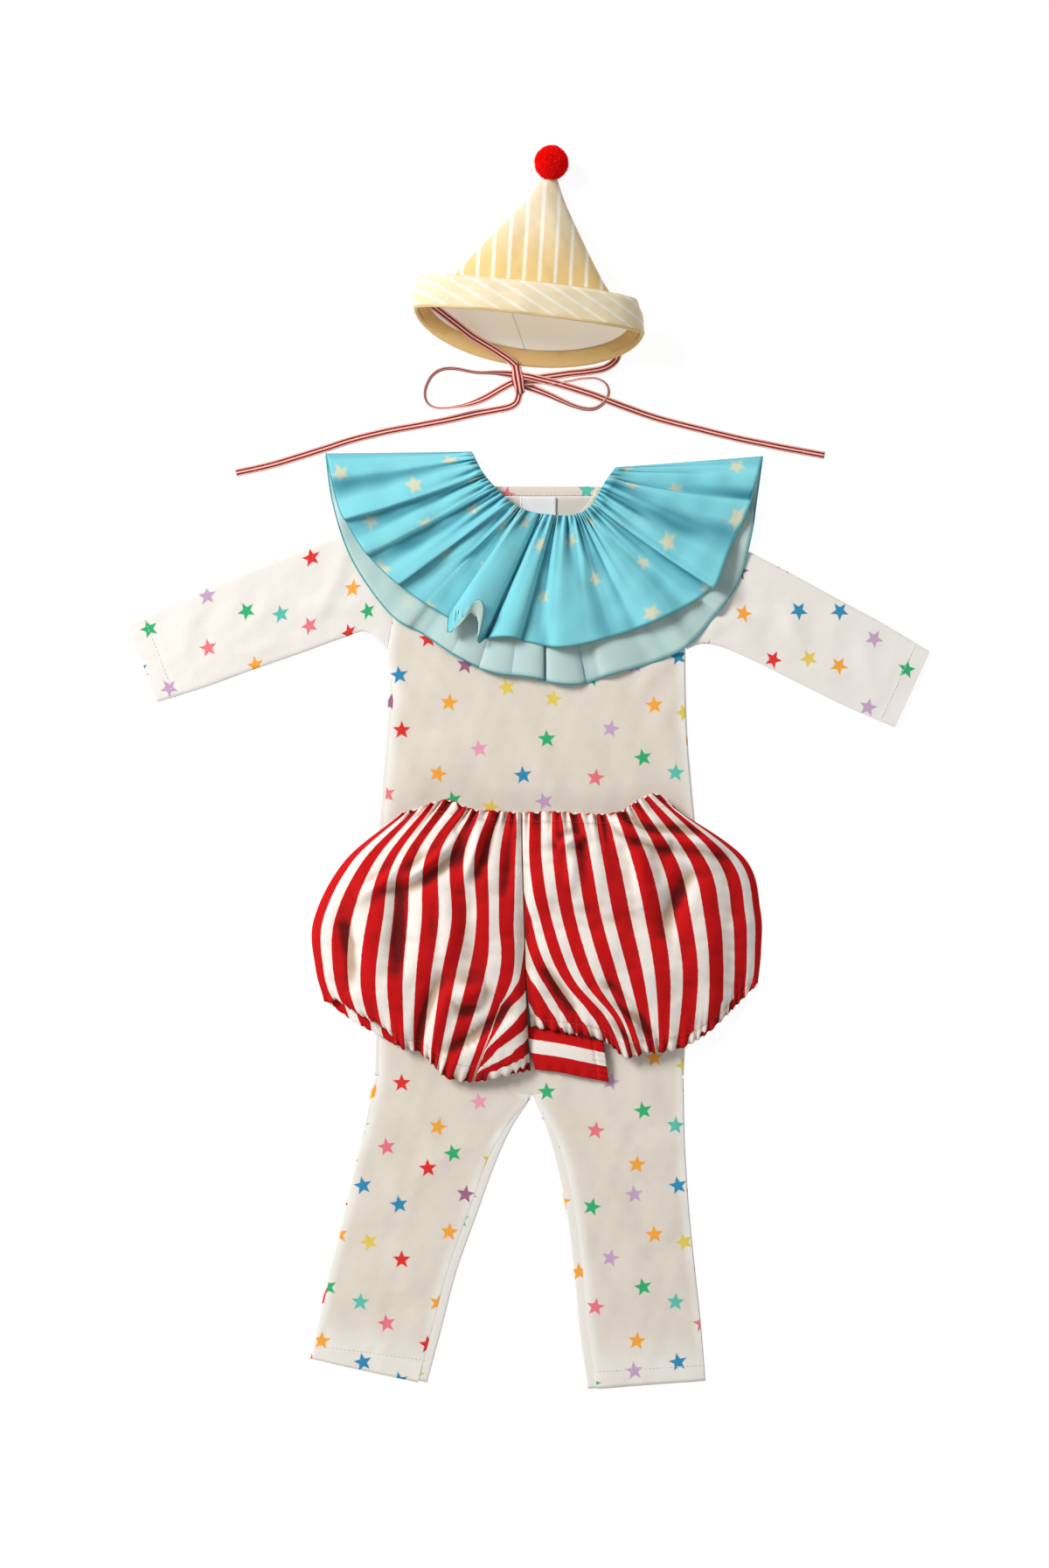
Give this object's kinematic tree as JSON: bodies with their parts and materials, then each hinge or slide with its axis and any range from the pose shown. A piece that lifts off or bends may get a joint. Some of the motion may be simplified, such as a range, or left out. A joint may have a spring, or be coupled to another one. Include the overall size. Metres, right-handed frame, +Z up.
{
  "type": "clown costume laid flat",
  "caption": "Toddler clown costume laid out flat: star-print romper, ruffled collar, striped bloomers and a pointed pompom hat with a ribbon bow.",
  "frame": {"origin": "on the table under the centre of the whole layout's box", "axes": "+X to the layout's right as seen from above, +Y towards the hat, +Z up off the table"},
  "size_m": [0.6426, 0.993, 0.074],
  "materials": {
    "star_jersey": "off-white cotton jersey printed with small coloured stars",
    "label_satin": "plain white woven satin label, bare",
    "aqua_cotton": "fine aqua cotton with pale stars, overlocked hem",
    "stripe_cotton": "red and white striped cotton",
    "yellow_cotton": "pale yellow cotton with narrow white stripes",
    "cream_lining": "plain cream cotton",
    "red_pompom": "dense clipped pompom fibre",
    "red_ribbon": "striped grosgrain ribbon"
  },
  "bodies": {
    "root": {"romper_back": "star_jersey", "romper_front": "star_jersey", "sleeve_left": "star_jersey", "sleeve_right": "star_jersey", "neck_binding": "star_jersey", "neck_label": "label_satin", "collar_back": "aqua_cotton", "collar_front": "aqua_cotton", "bloomers_back_left": "stripe_cotton", "bloomers_front_left": "stripe_cotton", "bloomers_back_right": "stripe_cotton", "bloomers_front_right": "stripe_cotton", "bloomers_inner_right": "stripe_cotton", "hat_crown": "yellow_cotton", "hat_brim": "yellow_cotton", "hat_lining": "cream_lining", "hat_pompom": "red_pompom", "tie_left": "red_ribbon", "tie_right": "red_ribbon", "bow_loop_left": "red_ribbon", "bow_loop_right": "red_ribbon", "tail_left": "red_ribbon", "tail_right": "red_ribbon", "bow_knot": "red_ribbon"}
  },
  "joints": []
}
